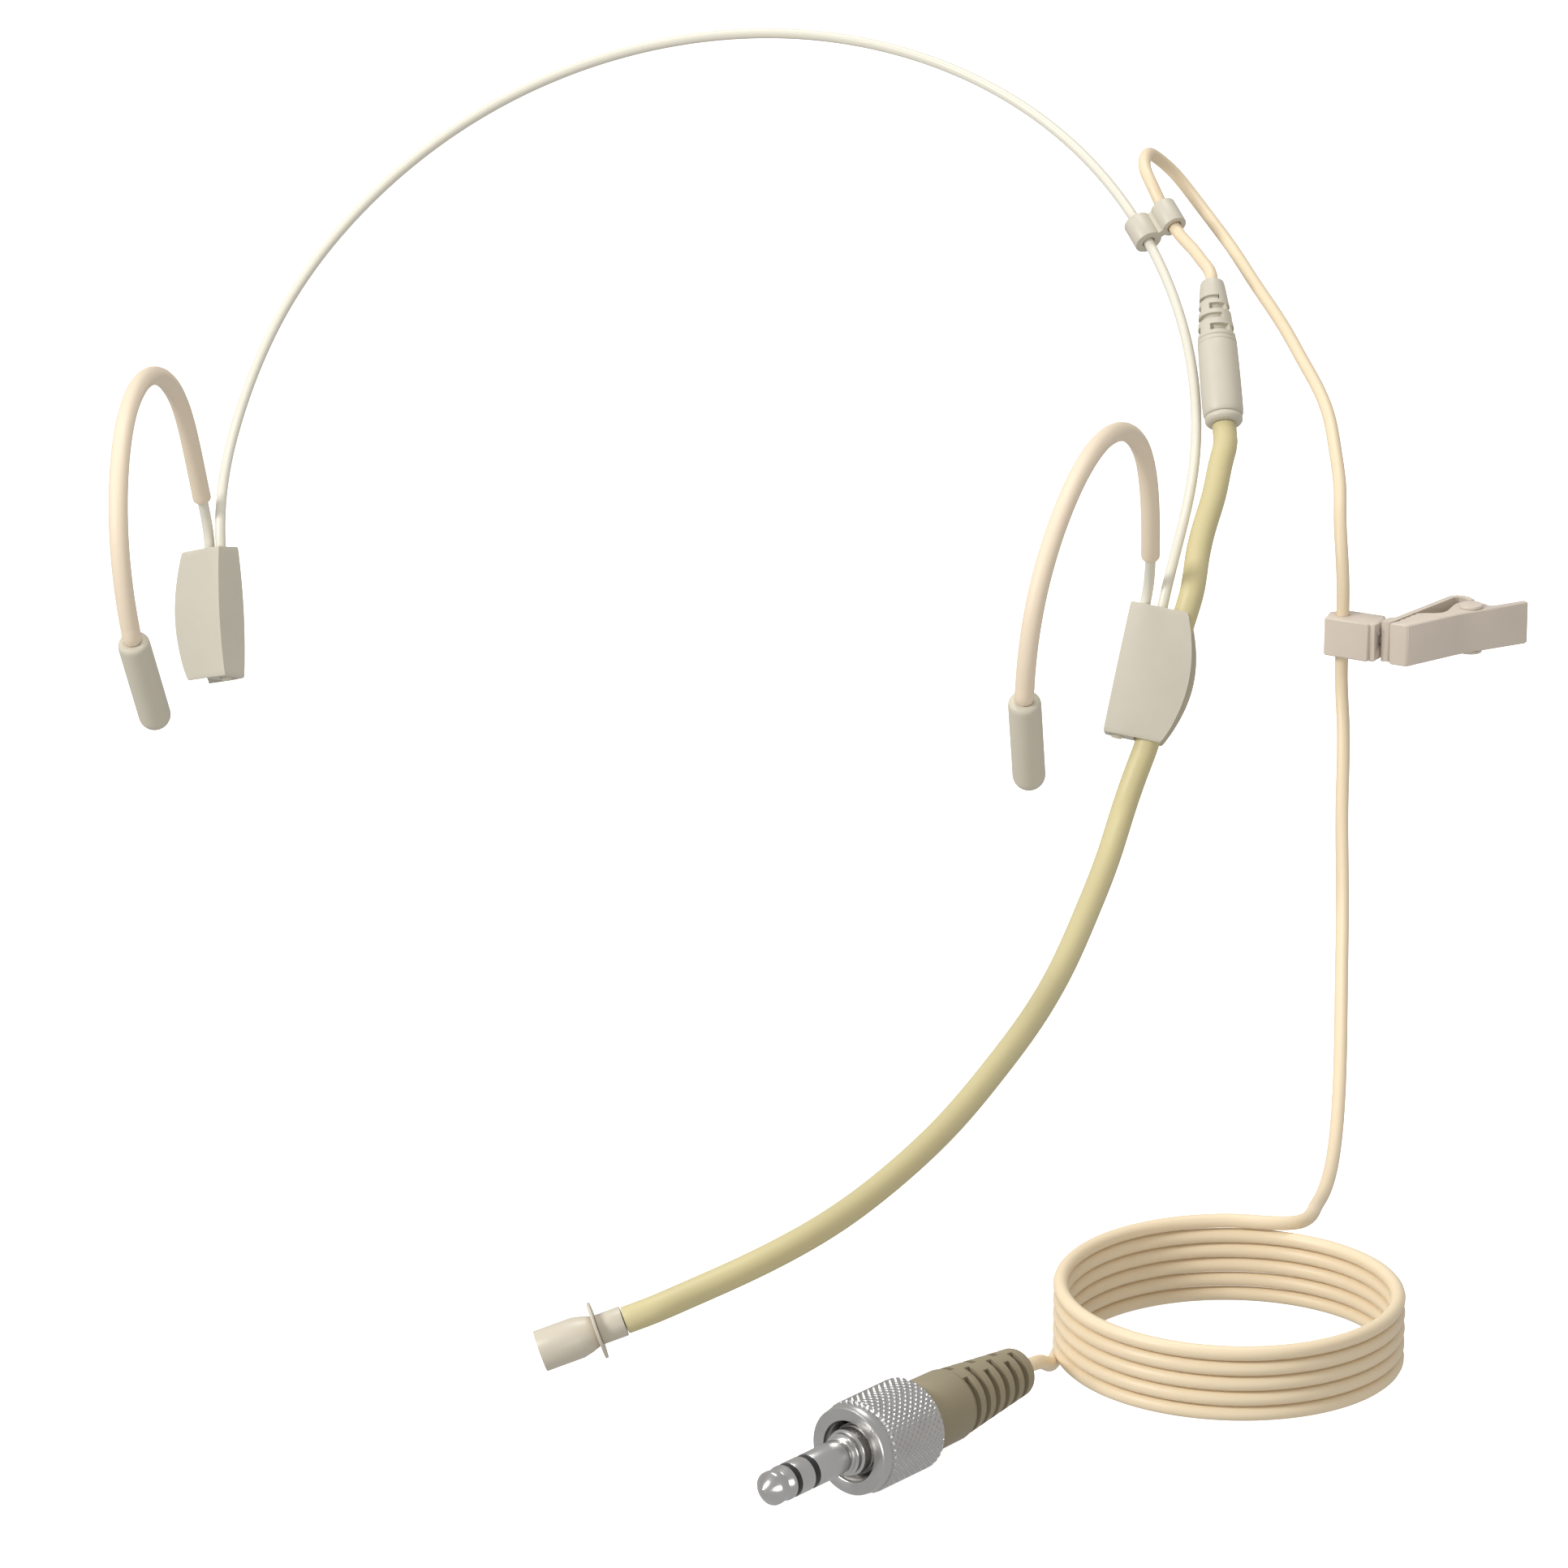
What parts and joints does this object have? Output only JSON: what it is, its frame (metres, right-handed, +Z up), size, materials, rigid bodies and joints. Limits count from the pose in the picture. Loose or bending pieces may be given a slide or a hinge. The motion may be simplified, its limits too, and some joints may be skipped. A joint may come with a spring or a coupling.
{
  "type": "headset microphone",
  "caption": "Head-worn stage microphone: wire neckband, two ear hooks, bendable boom with small capsule, clipped cable, garment clip and locking mini-jack plug.",
  "frame": {"origin": "midway between the tops of the wearer's two ears, under the crowns of the ear hooks", "axes": "+Z up, the wearer faces -Y, +X towards the side that carries the boom"},
  "size_m": [0.16, 0.2181, 0.0977],
  "materials": {
    "block_plastic": "fine satin",
    "wire_coat": "smooth coated spring wire",
    "hook_silicone": "soft satin sleeve",
    "tip_silicone": "soft satin",
    "boom_sleeve": "satin bendable sleeve",
    "cable_jacket": "satin jacket",
    "mic_housing": "satin paint",
    "capsule_gauze": "woven gauze",
    "clip_plastic": "satin moulding",
    "spring_steel": "bright",
    "nickel": "satin nickel plate",
    "insulator": "black",
    "plug_moulding": "soft moulding"
  },
  "bodies": {
    "headband": {"neckband_wire": "wire_coat", "right_block": "block_plastic", "right_stop_pin": "tip_silicone", "cable_clip": "block_plastic", "cable_run": "cable_jacket", "cable_hank": "cable_jacket", "cable_tail": "cable_jacket", "cable_holder": "clip_plastic", "plug_body": "plug_moulding", "plug_boot": "plug_moulding", "plug_collar": "nickel", "jack_sleeve": "nickel", "jack_insulator_1": "insulator", "jack_ring": "nickel", "jack_insulator_2": "insulator", "jack_tip": "nickel"},
    "left_block_group": {"left_block": "block_plastic", "left_stop_pin": "tip_silicone"},
    "left_hook": {"left_hook_wire": "wire_coat", "left_hook_sleeve": "hook_silicone", "left_hook_tip": "tip_silicone"},
    "right_hook": {"right_hook_wire": "wire_coat", "right_hook_sleeve": "hook_silicone", "right_hook_tip": "tip_silicone"},
    "boom": {"boom_tube": "boom_sleeve", "mic_collar": "mic_housing", "mic_guard_disc": "mic_housing", "mic_housing": "mic_housing", "mic_capsule": "nickel", "mic_front_gauze": "capsule_gauze", "connector_lip": "block_plastic", "connector_body": "block_plastic", "connector_boot": "block_plastic"},
    "garment_clip": {"fixed_jaw": "clip_plastic", "clip_rivet": "clip_plastic", "clip_spring": "spring_steel", "swivel_stud": "spring_steel"},
    "clip_lever": {"lever_jaw": "clip_plastic"},
    "plug_ring": {"locking_ring": "nickel"}
  },
  "joints": [
    {"name": "left_block_slide", "type": "slide", "parent": "headband", "child": "left_block_group", "axis": [0.1354, -0.3567, -0.9244], "range_m": [0, 0.002]},
    {"name": "left_hook_turn", "type": "hinge", "parent": "left_block_group", "child": "left_hook", "pos_m": [-0.05683, 0.02198, -0.02812], "axis": [-0.1354, 0.3567, 0.9244], "range_deg": [-20, 6]},
    {"name": "right_hook_turn", "type": "hinge", "parent": "headband", "child": "right_hook", "pos_m": [0.05322, 0.02096, -0.02719], "axis": [0.1355, 0.357, 0.9242], "range_deg": [-20, 20]},
    {"name": "boom_slide", "type": "slide", "parent": "headband", "child": "boom", "axis": [-0.2124, -0.3576, -0.9094], "range_m": [0, 0.0015]},
    {"name": "clip_swivel", "type": "hinge", "parent": "headband", "child": "garment_clip", "pos_m": [0.08132, 0.01183, -0.0268], "axis": [0.9511, -0.309, 0], "range_deg": [-45, 45]},
    {"name": "clip_jaw_open", "type": "hinge", "parent": "garment_clip", "child": "clip_lever", "pos_m": [0.0904, 0.0186, -0.0268], "axis": [0, 0, 1], "range_deg": [0, 15], "stiffness_Nm_per_rad": 0.02, "springref_deg": -17.19},
    {"name": "locking_ring_turn", "type": "hinge", "parent": "headband", "child": "plug_ring", "pos_m": [0.0515, -0.1289, -0.0686], "axis": [-0.454, -0.891, 0], "continuous": true}
  ]
}
